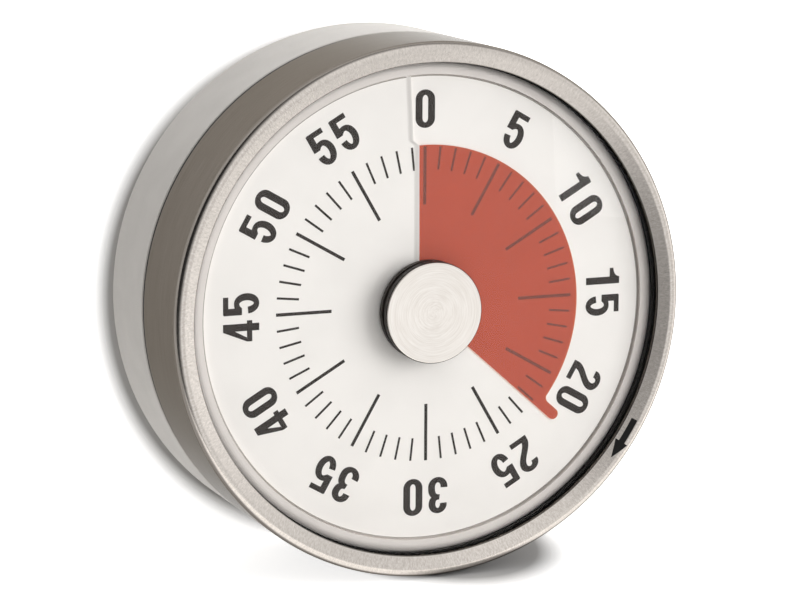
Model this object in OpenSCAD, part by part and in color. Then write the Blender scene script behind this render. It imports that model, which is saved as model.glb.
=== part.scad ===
// Sixty-minute visual countdown timer with a spring-driven movement.
// The turning bezel, the clear lens, the centre cap and the red time film are one
// assembly on the main arbor. The dial, the movement and the rear case stand still.
// Every module is drawn lying on its back, with h along Z from the magnet's face
// towards the dial, and upright() stands it up with the dial facing -Y.

/* [Case] */
// Outside diameter of the rear case and of the turning bezel
case_d = 78; // [77:0.5:82]
// Depth from the magnet's face to the crest of the bezel
depth = 31; // [31:0.25:34]
// Height of the rear case's front rim above the magnet's face
rim_h = 15.5; // [14.5:0.1:16]
// Gap between the rear case and the turning bezel
seam_gap = 0.7; // [0.4:0.1:1.2]
// Diameter of the magnet in the middle of the back
magnet_d = 32; // [26:1:36]

/* [Bezel and dial] */
// Diameter of the opening in the steel bezel
opening_d = 71.9; // [71.6:0.1:72.4]
// Drop from the bezel's crest to the edge of its opening
lip_drop = 0.9; // [0.8:0.1:1.2]
// Diameter of the white dial sheet
dial_d = 68; // [66:0.5:68]
// Outside diameter of the red time film
film_d = 47.8; // [45:0.2:49]
// Diameter of the centre cap
cap_d = 14.8; // [12:0.2:18]
// Minutes shown by the film as drawn
minutes = 22; // [10:1:50]

/* [Movement] */
// Diameter of the movement's two plates
plate_d = 56; // [55:0.5:57]
// Module of the great wheel and the second pinion
module_1 = 0.5; // [0.48:0.01:0.51]
// Module of the second wheel and the third pinion
module_2 = 0.36; // [0.35:0.01:0.36]
// Module of the third wheel and the escape pinion
module_3 = 0.32; // [0.31:0.01:0.32]

/* [Hidden] */

eps = 0.02;            // overshoot of a cut past the face it breaks through
smooth = 96;           // facets of a preview circle; the solids are true circles

// --- radii of the case, from the outside in ---
case_r = case_d / 2;
wall = 2;                              // moulded wall of the rear case
steel_t = 0.5;                         // drawn steel of the bezel cover
carrier_r = case_r - steel_t;
carrier_bore_r = carrier_r - 1.3;
spigot_r = carrier_bore_r - 0.3;       // the bezel turns on this ring
tray_r = spigot_r - 1.5;
tray_rim_r = spigot_r - 0.7;           // the tray's rim reaches out over the spigot
opening_r = opening_d / 2;
lens_r = case_r - 1.6;
dial_r = dial_d / 2;
film_r = film_d / 2;
cap_r = cap_d / 2;

// --- heights above the magnet's face, from the front back ---
crest_h = depth;
lip_h = crest_h - lip_drop;
lens_t = 0.9;
lens_top = lip_h - steel_t;
lens_h = lens_top - lens_t;
cap_top = lip_h + 0.75;
tray_rim_h = lens_h - 0.75;
sheet_top = tray_rim_h - 0.6;
sheet_t = 0.3;
sheet_h = sheet_top - sheet_t;
film_t = 0.15;
film_top_h = sheet_top + 0.05;         // visible part of the film
film_low_h = sheet_h - 0.5;            // part of the film under the dial
tray_floor_top = sheet_h - 0.95;
tray_floor_h = tray_floor_top - 0.8;
bezel_h = rim_h + seam_gap;
crest_round = 0.6;                     // outer radius of the bezel's crest
crest_at = [case_r - crest_round, crest_h - crest_round];
case_back_h = 0.3;
cover_face_h = 0.5;
cover_t = 1.6;
ledge_h = rim_h - 2.4;                 // step inside the case that carries the tray

// --- movement ---
plate_r = plate_d / 2;
plate_t = 1;
back_plate_h = 9.6;
train_h = back_plate_h + plate_t;      // floor of the room between the plates
front_plate_h = train_h + 9;
front_plate_top = front_plate_h + plate_t;
spring_h = train_h + 0.3;
spring_w = 3;
great_h = train_h + 3.9;
great_t = 0.9;
ratchet_h = great_h + great_t;
ratchet_t = 0.8;
cam_h = train_h + 6.1;
cam_t = 0.7;
third_wheel_h = cam_h;
second_wheel_h = train_h + 7.5;
wheel_t = 0.7;
escape_h = train_h + 1;
escape_t = 0.6;
lever_h = escape_h + escape_t + 0.4;
lever_t = 0.6;

arbor_r = 1.5;
running = 0.04;                        // radial play of a pivot in its hole
pivot_r = 0.4;
staff_r = 0.75;                        // plain length of a wheel's arbor

great_teeth = 60;
second_leaves = 10;
second_teeth = 54;
third_leaves = 9;
third_teeth = 49;
escape_leaves = 7;
escape_teeth = 20;
escape_tip_r = 5.2;
pin_r = 0.22;                          // pallet pins
pin_circle_r = escape_tip_r + pin_r + 0.12;
pin_half_angle = 40.5;                 // the pins span four and a half teeth

// Angle at the middle between two arbors that stand a and b from it and c apart
function angle_between(a, b, c) = acos((a * a + b * b - c * c) / (2 * a * b));
function polar(r, a) = [r * cos(a), r * sin(a)];
function bearing(p, q) = atan2(q[1] - p[1], q[0] - p[0]);

second_r = module_1 * (great_teeth + second_leaves) / 2;
second_a = 200;
third_r = 17.4;
third_a = second_a
        + angle_between(second_r, third_r, module_2 * (second_teeth + third_leaves) / 2);
escape_r = 17.6;
escape_a = third_a
         + angle_between(third_r, escape_r, module_3 * (third_teeth + escape_leaves) / 2);
lever_r = 18.5;
lever_gap = 7.2;
lever_a = escape_a + angle_between(escape_r, lever_r, lever_gap);
hammer_r = 20.5;
hammer_a = 62;

second_at = polar(second_r, second_a);
third_at = polar(third_r, third_a);
escape_at = polar(escape_r, escape_a);
lever_at = polar(lever_r, lever_a);
hammer_at = polar(hammer_r, hammer_a);
bell_at = [-4, -4];
bell_r = 18;
bell_h = 4.4;
bell_depth = 4.2;
bell_t = 0.6;

striker_r = 1.6;
strike_gap = 0.5;                      // the striker rests this far from the bell
striker_at = bell_at + polar(bell_r + strike_gap + striker_r,
                             bearing(bell_at, hammer_at) + 25);
spring_foot_r = 25;                    // foot of the hammer's wire spring
spring_foot_a = 84;

spring_turns = 6;                      // mainspring
spring_in_r = 2.25;
spring_out_r = 9.8;
spring_strip = 0.22;
spring_tail_angle = 40;
click_r = 9.6;                         // the click's pivot on the great wheel
click_a = 36;

pillar_angles = [35, 152, 262, 318];
pillar_ring_r = 25.3;
pillar_r = 1.5;
boss_angles = [95, 175, 340];
boss_ring_r = 24.5;
post_angles = [20, 130, 250];
post_ring_r = 31.1;
post_r = 2.6;
post_h = 4.2;
screw_r = 1.1;

// ---------------------------------------------------------------- helpers

module upright() {
    rotate([90, 0, 0]) children();
}

module at(p, h) {
    translate([p[0], p[1], h]) children();
}

module disc(r, h, t) {
    translate([0, 0, h]) cylinder(r = r, h = t, $fn = smooth);
}

module tube(outer, inner, h, t) {
    difference() {
        disc(outer, h, t);
        disc(inner, h - eps, t + 2 * eps);
    }
}

module turned(profile) {
    rotate_extrude($fn = smooth) polygon(profile);
}

// Points of an arc about c, from angle a0 to a1 in n steps
function arc(c, r, a0, a1, n) =
    [for (i = [0 : n]) c + polar(r, a0 + (a1 - a0) * i / n)];

// Sector of a disc, from angle a0 to a1, as a flat outline
module sector(r_in, r_out, a0, a1) {
    steps = max(4, ceil((a1 - a0) / 6));
    polygon(concat(arc([0, 0], r_out, a0, a1, steps),
                   arc([0, 0], r_in, a1, a0, steps)));
}

// Slot along an arc with round ends
module arc_slot(r, w, a0, a1, h, t) {
    translate([0, 0, h]) linear_extrude(t)
        polygon(concat(arc([0, 0], r + w / 2, a0, a1, 8),
                       arc(polar(r, a1), w / 2, a1 + 30, a1 + 150, 4),
                       arc([0, 0], r - w / 2, a1, a0, 8),
                       arc(polar(r, a0), w / 2, a0 + 210, a0 + 330, 4)));
}

// Clock tooth: radial flanks below the pitch circle and a rounded point above it.
// Widths and heights are in modules.
function tooth(m, n, k, width, ded, add, point) =
    let (rp = m * n / 2,
         half = width * m / 2 / rp * 180 / PI,
         c = 360 * k / n)
    [polar(rp - ded * m, c - half),
     polar(rp, c - half),
     polar(rp + 0.55 * add * m, c - 0.68 * half),
     polar(rp + add * m, c - point * half),
     polar(rp + add * m, c + point * half),
     polar(rp + 0.55 * add * m, c + 0.68 * half),
     polar(rp, c + half),
     polar(rp - ded * m, c + half)];

module wheel_outline(m, n) {
    polygon([for (k = [0 : n - 1]) each tooth(m, n, k, 1.45, 1.5, 1.15, 0.16)]);
}

module pinion_outline(m, n) {
    polygon([for (k = [0 : n - 1]) each tooth(m, n, k, 1.0, 1.6, 0.6, 0.35)]);
}

// Toothed wheel with arms: a rim, a boss and the arms between them
module train_wheel(m, n, arms, boss_r, bore_r, t) {
    rim_in = m * n / 2 - 1.5 * m - 0.9;
    arm_w = max(0.9, rim_in * 0.13);
    difference() {
        linear_extrude(t) wheel_outline(m, n);
        translate([0, 0, -eps])
            cylinder(r = bore_r, h = t + 2 * eps, $fn = smooth);
        translate([0, 0, -eps])
            linear_extrude(t + 2 * eps)
                difference() {
                    circle(r = rim_in, $fn = smooth);
                    circle(r = boss_r, $fn = smooth);
                    for (i = [0 : arms - 1])
                        rotate(360 / arms * i)
                            translate([0, -arm_w / 2]) square([rim_in + 1, arm_w]);
                }
    }
}

// Arbor with leaves: turned steel with a pivot at each end
module train_pinion(m, n, leaf_h, leaf_t, seat_h, seat_r, body_r) {
    disc(pivot_r, back_plate_h - 0.2, plate_t + 0.3);
    disc(body_r, train_h + 0.1, front_plate_h - train_h - 0.2);
    disc(pivot_r, front_plate_h - 0.1, plate_t + 0.3);
    translate([0, 0, leaf_h]) linear_extrude(leaf_t) pinion_outline(m, n);
    disc(seat_r, seat_h - 0.5, wheel_t + 0.7);
}

// -------------------------------------------------------------- the case

module rear_case() {
    round_r = 1.2;
    inner_r = case_r - wall;
    color("#A9A49E") difference() {
        union() {
            turned(concat(
                arc([case_r - round_r, case_back_h + round_r], round_r, -90, 0, 6),
                arc([case_r - 0.3, rim_h - 0.3], 0.3, 0, 90, 3),
                [[spigot_r, rim_h], [spigot_r, rim_h + 3.2],
                 [spigot_r - 0.3, rim_h + 3.5], [tray_r + 0.1, rim_h + 3.5],
                 [tray_r + 0.1, ledge_h], [tray_r - 1.6, ledge_h],
                 [tray_r - 1.6, ledge_h - 1], [inner_r, ledge_h - 3],
                 [inner_r, cover_face_h + cover_t + 1.4],
                 [inner_r - 3, cover_face_h + cover_t + 1.4],
                 [inner_r - 3, cover_face_h + cover_t],
                 [inner_r - 0.3, cover_face_h + cover_t],
                 [inner_r - 0.3, case_back_h]]));
            for (a = post_angles)
                rotate([0, 0, a]) {
                    translate([post_ring_r, 0, cover_face_h + cover_t + 0.1])
                        cylinder(r = post_r + 0.6, h = 1.2, $fn = smooth);
                    translate([post_ring_r, -post_r, cover_face_h + cover_t + 0.2])
                        cube([inner_r - 1.5 - post_ring_r, 2 * post_r, 1]);
                }
            // stiffening ribs inside the wall
            for (a = [0 : 20 : 340])
                rotate([0, 0, a + 10])
                    translate([inner_r - 1, -0.5, cover_face_h + cover_t + 1])
                        cube([1.3, 1, ledge_h - cover_face_h - cover_t - 3]);
        }
        for (a = post_angles)
            at(polar(post_ring_r, a), 0)
                cylinder(r = screw_r + 0.15, h = 6, $fn = 32);
    }
}

module back_cover() {
    r = case_r - wall - 0.4;
    pocket_h = 2.5;
    color("#232120") difference() {
        union() {
            turned([[0, cover_face_h], [r - 0.4, cover_face_h],
                    [r, cover_face_h + 0.4], [r, cover_face_h + cover_t],
                    [0, cover_face_h + cover_t]]);
            disc(magnet_d / 2 + 1.2, cover_face_h, pocket_h + 0.8 - cover_face_h);
        }
        disc(magnet_d / 2 + 0.05, 0, pocket_h);
        for (a = post_angles)
            at(polar(post_ring_r, a), 0) {
                cylinder(r = screw_r + 0.15, h = 6, $fn = 32);
                cylinder(r = 2.3, h = cover_face_h + 0.9, $fn = 32);
            }
        // sound slots over the bell, in three rows on each side
        for (side = [75, 195, 315], row = [0 : 2])
            arc_slot(magnet_d / 2 + 4 + 2.8 * row, 1.3, side - 25 + 2 * row,
                     side + 25 - 2 * row, 0, 4);
    }
}

module magnet() {
    r = magnet_d / 2;
    color("#4A4B4D")
        turned([[0, 0], [r - 0.3, 0], [r, 0.3], [r, 2.5], [0, 2.5]]);
}

module cover_screws() {
    head_h = cover_face_h + 0.9;
    color("#B9B9B5") for (a = post_angles)
        at(polar(post_ring_r, a), 0) difference() {
            union() {
                translate([0, 0, head_h - 0.75])
                    cylinder(r = 2, h = 0.75, $fn = 32);
                translate([0, 0, head_h])
                    cylinder(r = screw_r - 0.1, h = 8.5, $fn = 32);
            }
            for (turn = [0, 90])
                rotate([0, 0, a + turn])
                    translate([-1.2, -0.25, 0]) cube([2.4, 0.5, 1]);
        }
}

module dial_tray() {
    inner_r = tray_r - 1.25;
    recess_r = 27.5;
    rim_round = 1.4;
    color("#E4E2DF") difference() {
        union() {
            turned(concat(
                [[3.6, tray_floor_h], [recess_r + 0.8, tray_floor_h],
                 [recess_r + 0.8, sheet_h - 1.2], [inner_r, sheet_h - 1.2],
                 [inner_r, ledge_h], [tray_r, ledge_h], [tray_r, rim_h + 4.2],
                 [tray_rim_r, rim_h + 5]],
                arc([tray_rim_r - rim_round, tray_rim_h - rim_round], rim_round,
                    0, 90, 8),
                [[dial_r + 0.1, tray_rim_h], [dial_r + 0.1, sheet_h],
                 [recess_r, sheet_h], [recess_r, tray_floor_top],
                 [3.6, tray_floor_top]]));
            for (a = post_angles)
                rotate([0, 0, a]) {
                    translate([post_ring_r, 0, post_h])
                        cylinder(r = post_r, h = sheet_h - 1.2 - post_h, $fn = smooth);
                    translate([post_ring_r, -0.5, ledge_h + 0.2])
                        cube([inner_r + 0.4 - post_ring_r, 1, 8]);
                }
            for (a = boss_angles)
                at(polar(boss_ring_r, a), front_plate_top)
                    cylinder(r = 2, h = tray_floor_h - front_plate_top + 0.4,
                             $fn = smooth);
            // ribs under the floor, between the middle and the step
            for (a = [0 : 30 : 330])
                rotate([0, 0, a])
                    translate([6, -0.4, tray_floor_h - 1.4])
                        cube([recess_r - 5.4, 0.8, 1.5]);
        }
        for (a = post_angles)
            at(polar(post_ring_r, a), post_h - 1)
                cylinder(r = screw_r - 0.1, h = 8, $fn = 32);
        for (a = boss_angles)
            at(polar(boss_ring_r, a), front_plate_top - 1)
                cylinder(r = 0.8, h = 4.6, $fn = 32);
    }
}

// Cut through the dial sheet: the film's slit, a jog and the joint to the edge
module sheet_cut() {
    film_x = -1.25;
    inner_x = -2.05;
    outer_x = -2.45;
    w = 0.35;
    polygon([[film_x, 4], [film_x + w, 4], [film_x + w, film_r + 0.35],
             [inner_x + w, film_r + 1.1], [outer_x + w, dial_r + 1],
             [outer_x, dial_r + 1], [inner_x, film_r + 0.9],
             [film_x, film_r + 0.15]]);
}

module dial_sheet() {
    color("#F1F0EE") translate([0, 0, sheet_h]) linear_extrude(sheet_t)
        difference() {
            circle(r = dial_r, $fn = smooth);
            circle(r = 4.2, $fn = smooth);
            sheet_cut();
        }
}

// ---------------------------------------------------------- the movement

module plate_outline() {
    difference() {
        circle(r = plate_r, $fn = smooth);
        for (a = [70, 125, 290, 350])
            translate(polar(plate_r + 6, a)) circle(r = 8, $fn = smooth);
    }
}

module plate_holes(centre_r, h) {
    at([0, 0], h) cylinder(r = centre_r, h = plate_t + 2 * eps, $fn = smooth);
    for (p = [second_at, third_at, escape_at, lever_at])
        at(p, h) cylinder(r = pivot_r + running, h = plate_t + 2 * eps, $fn = 32);
    for (a = pillar_angles)
        at(polar(pillar_ring_r, a), h)
            cylinder(r = 0.9, h = plate_t + 2 * eps, $fn = 32);
}

module front_plate() {
    cut_h = front_plate_h - eps;
    color("#C9A84E") difference() {
        translate([0, 0, front_plate_h]) linear_extrude(plate_t) plate_outline();
        plate_holes(arbor_r + running, cut_h);
        at(hammer_at, cut_h)
            cylinder(r = 0.6 + running, h = plate_t + 2 * eps, $fn = 32);
        for (a = boss_angles)
            at(polar(boss_ring_r, a), cut_h)
                cylinder(r = 0.95, h = plate_t + 2 * eps, $fn = 32);
        // windows that lighten the plate
        for (a = [22, 125])
            translate([0, 0, cut_h]) linear_extrude(plate_t + 2 * eps)
                sector(7, 17, a - 24, a + 24);
    }
}

module back_plate() {
    cut_h = back_plate_h - eps;
    color("#C9A84E") difference() {
        translate([0, 0, back_plate_h]) linear_extrude(plate_t) plate_outline();
        plate_holes(1.2 + running, cut_h);
        at(hammer_at, cut_h)
            cylinder(r = 0.75 + running, h = plate_t + 2 * eps, $fn = 32);
        at(bell_at, cut_h) cylinder(r = 1.1, h = plate_t + 2 * eps, $fn = 32);
        at(polar(spring_foot_r, spring_foot_a), cut_h)
            cylinder(r = 0.3, h = plate_t + 2 * eps, $fn = 32);
    }
}

module plate_pillars() {
    color("#C7C8C6") for (a = pillar_angles)
        at(polar(pillar_ring_r, a), 0) {
            disc(0.9, back_plate_h, plate_t);
            disc(pillar_r, train_h, front_plate_h - train_h);
            disc(0.9, front_plate_h, plate_t + 1.5);
        }
}

module pillar_nuts() {
    color("#B4B5B3") for (a = pillar_angles)
        at(polar(pillar_ring_r, a), front_plate_top) difference() {
            cylinder(r = 1.85, h = 1.2, $fn = 6);
            translate([0, 0, -eps])
                cylinder(r = 0.9, h = 1.2 + 2 * eps, $fn = 32);
        }
}

module movement_screws() {
    color("#B9B9B5") for (a = boss_angles)
        at(polar(boss_ring_r, a), front_plate_h) difference() {
            union() {
                translate([0, 0, -0.8]) cylinder(r = 1.6, h = 0.8, $fn = 32);
                cylinder(r = 0.75, h = 4, $fn = 32);
            }
            translate([-2, -0.2, -0.8 - eps]) cube([4, 0.4, 0.4]);
        }
}

module bell() {
    mouth_h = bell_h + bell_depth;
    outer = concat([[1.2, bell_h]],
                   arc([bell_r - 2.6, bell_h + 2.6], 2.6, -90, -15, 6),
                   [[bell_r, mouth_h]]);
    inner = concat([[bell_r - bell_t, mouth_h]],
                   arc([bell_r - 2.6, bell_h + 2.6], 2.6 - bell_t, -15, -90, 6),
                   [[1.2, bell_h + bell_t]]);
    color("#D4D4D0") at(bell_at, 0) turned(concat(outer, inner));
}

module bell_post() {
    color("#C7C8C6") at(bell_at, 0) difference() {
        union() {
            disc(1.8, bell_h + bell_t, back_plate_h - bell_h - bell_t);
            disc(1.1, back_plate_h, plate_t);
        }
        disc(0.8, bell_h + bell_t - eps, 3);
    }
}

module bell_screw() {
    color("#B9B9B5") at(bell_at, 0) difference() {
        union() {
            disc(2, bell_h - 0.6, 0.6);
            disc(0.8, bell_h, 3);
        }
        translate([-2.5, -0.25, bell_h - 0.6 - eps]) cube([5, 0.5, 0.3]);
    }
}

// Flat spring wound from the arbor's drum out to a pillar. It is coiled so that
// turning the arbor clockwise, seen from the dial, winds it tighter.
function coil(t, side) =
    polar(spring_in_r + (spring_out_r - spring_in_r) * t
          + (side + 1) * spring_strip / 2,
          360 * spring_turns * t + pillar_angles[0] - spring_tail_angle);

// Outer end of the spring, from the last coil to its eye on the pillar
function tail(t, side) =
    polar(spring_out_r + (pillar_ring_r - pillar_r - 0.2 - spring_out_r) * t
          + (side + 1) * spring_strip / 2,
          pillar_angles[0] - spring_tail_angle * (1 - t));

module mainspring() {
    steps = spring_turns * 24;
    ends = 8;
    color("#7F868C") translate([0, 0, spring_h]) linear_extrude(spring_w) {
        polygon(concat([for (i = [0 : steps]) coil(i / steps, 1)],
                       [for (i = [1 : ends]) tail(i / ends, 1)],
                       [for (i = [ends : -1 : 1]) tail(i / ends, -1)],
                       [for (i = [steps : -1 : 0]) coil(i / steps, -1)]));
        translate(polar(pillar_ring_r, pillar_angles[0])) difference() {
            circle(r = pillar_r + 0.4, $fn = 32);
            circle(r = pillar_r + 0.05, $fn = 32);
        }
    }
}

// -------------------------------------------- bezel, lens, cap and film

// Drawn steel shell: a straight wall, a tight crest and a slope down to the opening
module bezel_cover() {
    lip = [opening_r, lip_h];
    slope = bearing(lip, crest_at) + asin(crest_round / norm(crest_at - lip));
    color("#C6C1BB") turned(concat(
        [[carrier_r, bezel_h], [case_r - 0.25, bezel_h], [case_r, bezel_h + 0.25]],
        arc(crest_at, crest_round, 0, 90 + slope, 10),
        [lip, [opening_r, lens_top]],
        arc(crest_at, crest_round - steel_t, 90 + slope, 0, 4)));
}

module bezel_carrier() {
    ledge_r = opening_r - 0.15;
    color("#1D1B1A") difference() {
        turned([[carrier_r, bezel_h + 0.2], [carrier_r, lip_h - 0.1],
                [carrier_r - 0.3, lip_h + 0.1], [lens_r, lip_h - 0.15],
                [lens_r, lens_h], [ledge_r, lens_h], [ledge_r, lens_h - 0.6],
                [carrier_bore_r, lens_h - 1.8], [carrier_bore_r, bezel_h + 0.6],
                [carrier_bore_r + 0.4, bezel_h + 0.2]]);
        // notches that key the lens to the ring
        for (a = [0 : 60 : 300])
            rotate([0, 0, a])
                translate([lens_r - 0.2, -1, lens_h + 0.2])
                    cube([0.7, 2, lens_t + 1]);
    }
}

module lens() {
    color("#E8F0F2", 0.3) union() {
        turned([[arbor_r, lens_h], [lens_r, lens_h], [lens_r, lens_top],
                [arbor_r, lens_top]]);
        for (a = [0 : 60 : 300])
            rotate([0, 0, a])
                translate([lens_r - 0.3, -0.95, lens_h + 0.25])
                    cube([0.7, 1.9, lens_t - 0.3]);
    }
}

module centre_cap() {
    color("#D9D6D0") turned([
        [0, lens_top + 1.1], [arbor_r, lens_top + 1.1], [arbor_r, lens_top],
        [cap_r - 0.15, lens_top], [cap_r, lens_top + 0.15],
        [cap_r, cap_top - 0.3], [cap_r - 0.09, cap_top - 0.09],
        [cap_r - 0.3, cap_top], [0, cap_top]]);
}

module arbor() {
    color("#B5B7B8") difference() {
        turned([[0, back_plate_h - 0.3], [1.2, back_plate_h - 0.3],
                [1.2, train_h + 0.1], [2.2, train_h + 0.1],
                [2.2, great_h - 0.3], [2.6, great_h - 0.3], [2.6, great_h],
                [1.9, great_h], [1.9, cam_h + cam_t], [2.3, cam_h + cam_t],
                [2.3, cam_h + cam_t + 0.3], [arbor_r, cam_h + cam_t + 0.3],
                [arbor_r, front_plate_top + 0.15], [1.15, front_plate_top + 0.15],
                [1.15, front_plate_top + 0.6], [arbor_r, front_plate_top + 0.6],
                [arbor_r, lens_top + 1.1], [0, lens_top + 1.1]]);
        // slot that holds the inner end of the mainspring
        translate([1.7, -0.15, spring_h]) cube([1, 0.3, spring_w]);
    }
}

module film_hub() {
    flange_h = film_top_h + film_t;
    color("#E9E7E3") turned([
        [arbor_r, film_low_h - 0.3], [3.6, film_low_h - 0.3], [3.6, film_low_h],
        [2.9, film_low_h], [2.9, flange_h], [5.6, flange_h], [5.6, lens_h],
        [arbor_r, lens_h]]);
}

// Film: the visible sector lies on the dial, the rest turns underneath it.
// It passes through the dial's slit, just left of the zero mark.
module time_film() {
    slit_x = -1.15;
    step_t = 0.12;
    hub_r = 3;
    lead = 90 - minutes * 6;
    tab_w = 1.6;
    tab_r = film_r + 3.4 - tab_w / 2;
    color("#C4583F") {
        translate([0, 0, film_top_h]) linear_extrude(film_t) {
            difference() {
                sector(hub_r, film_r, lead, 120);
                translate([slit_x - 30, -1]) square([30, 40]);
            }
            rotate(lead) {
                translate([film_r - 1.5, 0]) square([tab_r - film_r + 1.5, tab_w]);
                translate([tab_r, tab_w / 2]) circle(r = tab_w / 2, $fn = 32);
            }
        }
        translate([slit_x, 4.6, film_low_h])
            cube([step_t, film_r - 4.7, film_top_h + film_t - film_low_h]);
        translate([0, 0, film_low_h]) linear_extrude(film_t)
            difference() {
                sector(hub_r, film_r, 85, lead + 358);
                translate([slit_x + step_t, 0]) square([10, 40]);
            }
    }
}

// ------------------------------------------------------------- the train

module great_wheel() {
    color("#C9A84E") translate([0, 0, great_h])
        rotate([0, 0, second_a])
            train_wheel(module_1, great_teeth, 5, 5.6, 1.9, great_t);
}

module ratchet_wheel() {
    n = 16;
    r = 4.6;
    color("#B5B7B8") translate([0, 0, ratchet_h]) linear_extrude(ratchet_t)
        difference() {
            polygon([for (k = [0 : n - 1])
                each [polar(r, 360 / n * k), polar(r - 0.8, 360 / n * k + 2)]]);
            circle(r = 1.9, $fn = smooth);
        }
}

module click() {
    color("#B5B7B8") rotate([0, 0, click_a]) {
        translate([click_r, 0, ratchet_h]) cylinder(r = 1.2, h = ratchet_t, $fn = 32);
        translate([click_r, 0, ratchet_h + ratchet_t])
            cylinder(r = 0.7, h = 0.3, $fn = 32);
        translate([0, 0, ratchet_h]) linear_extrude(ratchet_t)
            polygon([[click_r, 1.1], [7, 2.9], [4.75, 2.4], [4.35, 1.9],
                     [6.6, 1.5], [click_r - 1, -0.3]]);
    }
}

module click_spring() {
    color("#7F868C") rotate([0, 0, click_a])
        translate([0, 0, ratchet_h]) {
            linear_extrude(0.4)
                polygon([[click_r - 0.1, 7.6], [click_r + 0.2, 7.6],
                         [8.2, 3.6], [7, 2.95], [6.9, 3.15], [8, 3.9]]);
            translate([click_r + 0.1, 7.8, 0]) cylinder(r = 0.6, h = 0.6, $fn = 24);
        }
}

module strike_cam() {
    base_r = 3.6;
    lobe_r = 6;
    color("#C9A84E") translate([0, 0, cam_h]) linear_extrude(cam_t)
        rotate(hammer_a - minutes * 6 - 8) difference() {
            polygon(concat(arc([0, 0], base_r, 20, 340, 32), [polar(lobe_r, 360)]));
            circle(r = 1.9, $fn = smooth);
        }
}

module arbor_clip() {
    color("#7F868C") translate([0, 0, front_plate_top + 0.2]) linear_extrude(0.35)
        difference() {
            circle(r = 2.9, $fn = smooth);
            circle(r = 1.15, $fn = smooth);
            translate([0, -0.95]) square([4, 1.9]);
            for (a = [110, 250])
                translate(polar(2, a)) circle(r = 0.55, $fn = 24);
        }
}

module second_pinion() {
    color("#B5B7B8") at(second_at, 0)
        rotate([0, 0, second_a + 180 + 180 / second_leaves])
            train_pinion(module_1, second_leaves, great_h - 0.3, great_t + 0.6,
                         second_wheel_h, 1.3, staff_r);
}

module second_wheel() {
    color("#C9A84E") at(second_at, second_wheel_h)
        rotate([0, 0, bearing(second_at, third_at)])
            train_wheel(module_2, second_teeth, 4, 2, 1.3, wheel_t);
}

module third_pinion() {
    color("#B5B7B8") at(third_at, 0)
        rotate([0, 0, bearing(second_at, third_at) + 180 + 180 / third_leaves])
            train_pinion(module_2, third_leaves, second_wheel_h - 0.3, wheel_t + 0.6,
                         third_wheel_h, 1.2, staff_r);
}

module third_wheel() {
    color("#C9A84E") at(third_at, third_wheel_h)
        rotate([0, 0, bearing(third_at, escape_at)])
            train_wheel(module_3, third_teeth, 4, 1.8, 1.2, wheel_t);
}

module escape_pinion() {
    color("#B5B7B8") at(escape_at, 0)
        rotate([0, 0, bearing(third_at, escape_at) + 180 + 180 / escape_leaves])
            train_pinion(module_3, escape_leaves, third_wheel_h - 0.3, wheel_t + 0.6,
                         escape_h, 1, 0.5);
}

// Escape wheel: thin hooked teeth that the pallet pins drop between
module escape_wheel() {
    pitch = 360 / escape_teeth;
    root_r = escape_tip_r - 1.25;
    color("#C9A84E") at(escape_at, escape_h)
        rotate([0, 0, bearing(escape_at, lever_at) + pin_half_angle + pitch / 4])
            linear_extrude(escape_t) difference() {
                polygon([for (k = [0 : escape_teeth - 1])
                    each [polar(root_r, pitch * k - 2.4),
                          polar(escape_tip_r, pitch * k - 0.7),
                          polar(escape_tip_r, pitch * k + 0.7),
                          polar(root_r, pitch * k + 3.6)]]);
                circle(r = 1, $fn = smooth);
                for (a = [0 : 90 : 270])
                    translate(polar(2.5, a + 45)) circle(r = 0.75, $fn = 24);
            }
}

// Lever with two pallet pins that rock in and out of the escape wheel
module pallet_lever() {
    toward = bearing(escape_at, lever_at);
    color("#B5B7B8") {
        at(lever_at, 0) {
            disc(pivot_r, back_plate_h - 0.2, plate_t + 0.3);
            disc(staff_r, train_h + 0.1, front_plate_h - train_h - 0.2);
            disc(pivot_r, front_plate_h - 0.1, plate_t + 0.3);
            disc(1.5, lever_h - 0.2, lever_t + 0.4);
        }
        for (side = [-1, 1]) {
            pin = escape_at + polar(pin_circle_r, toward + side * pin_half_angle);
            at(pin, escape_h - 0.3)
                cylinder(r = pin_r, h = lever_h - escape_h + 0.4, $fn = 24);
            arm = bearing(lever_at, pin);
            reach = norm(pin - lever_at);
            at(lever_at, lever_h) linear_extrude(lever_t) {
                rotate(arm) translate([0, -0.5]) square([reach, 1]);
                rotate(arm) translate([reach, 0]) circle(r = 0.5, $fn = 24);
            }
        }
    }
}

module balance() {
    ring_r = 5;
    h = train_h + 7.3;
    color("#C9A84E") at(lever_at, h) linear_extrude(0.8) {
        difference() {
            circle(r = ring_r, $fn = smooth);
            circle(r = ring_r - 1, $fn = smooth);
        }
        difference() {
            union() {
                circle(r = 1.4, $fn = smooth);
                rotate(bearing(escape_at, lever_at) + 90)
                    translate([-ring_r + 0.5, -0.6]) square([2 * ring_r - 1, 1.2]);
            }
            circle(r = staff_r, $fn = smooth);
        }
    }
}

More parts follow.
